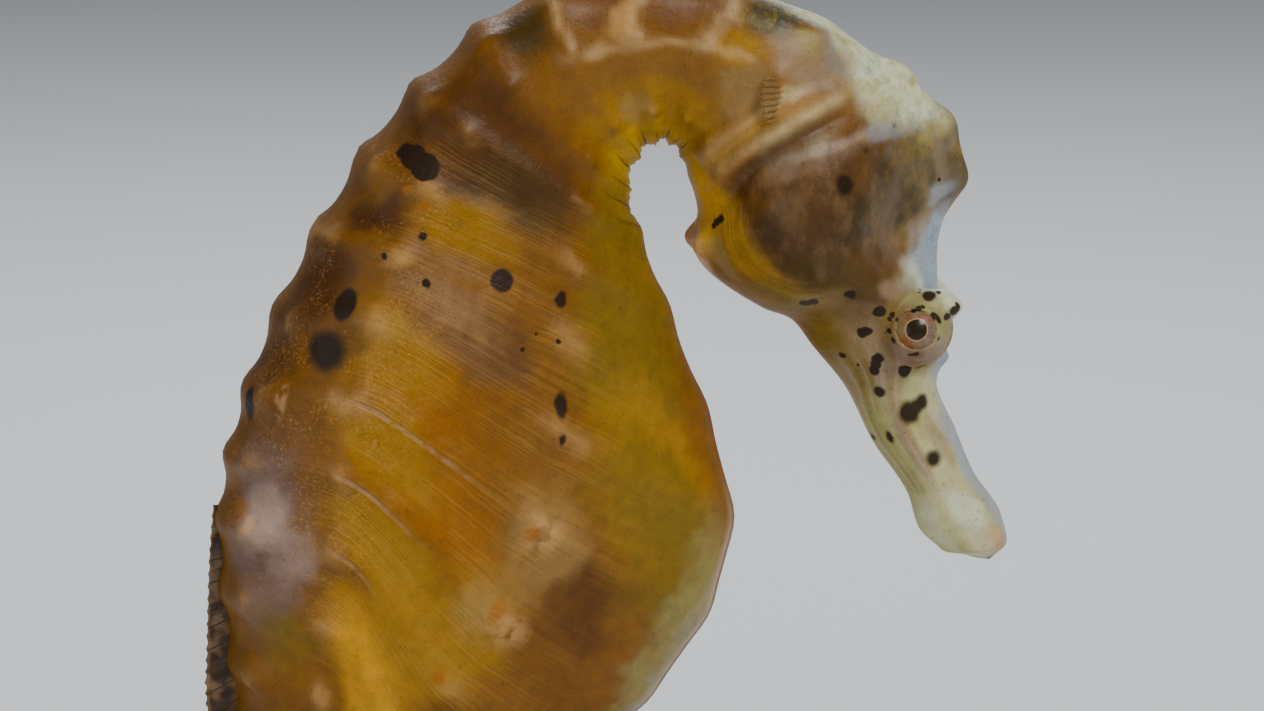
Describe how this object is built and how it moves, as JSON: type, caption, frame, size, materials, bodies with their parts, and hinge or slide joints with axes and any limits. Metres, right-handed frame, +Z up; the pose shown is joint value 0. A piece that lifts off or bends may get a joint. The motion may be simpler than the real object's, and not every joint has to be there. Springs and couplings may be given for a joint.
{
  "type": "seahorse model",
  "caption": "Still life-size model of a big-bellied seahorse with bowed head and curled tail, held by two rods on a flat display base.",
  "frame": {"origin": "middle of the underside of the stand's base, on the surface that the model stands on", "axes": "+Z up, +X the way the animal faces, +Y to its left"},
  "size_m": [0.092, 0.064, 0.1664],
  "materials": {
    "snout": "satin, pale olive-cream",
    "head": "satin, mottled brown and pale",
    "gill_cover": "satin, dark brown with fine lines",
    "coronet": "satin, pale",
    "eye": "wet gloss, dark pupil in a gold ring",
    "neck": "satin, brown cells between pale rings",
    "trunk": "satin, ochre brown with dark spots",
    "tail": "satin, banded ochre brown",
    "fin": "thin, yellow with fine rays",
    "stand_wood": "oiled dark walnut",
    "stand_brass": "brushed brass"
  },
  "bodies": {
    "root": {"snout": "snout", "head": "head", "gill_cover_right": "gill_cover", "gill_cover_left": "gill_cover", "coronet": "coronet", "eye_right": "eye", "eye_left": "eye", "neck_upper": "neck", "neck_lower": "neck", "trunk_upper": "trunk", "trunk_middle": "trunk", "trunk_lower": "trunk", "tail_root": "tail", "tail_upper": "tail", "tail_middle": "tail", "tail_bend": "tail", "tail_coil_outer": "tail", "tail_coil_inner": "tail", "tail_tip": "tail", "dorsal_fin": "fin", "anal_fin": "fin", "pectoral_fin_right": "fin", "pectoral_fin_left": "fin", "stand_base": "stand_wood", "stand_rod_body": "stand_brass", "stand_rod_tail": "stand_brass"}
  },
  "joints": []
}
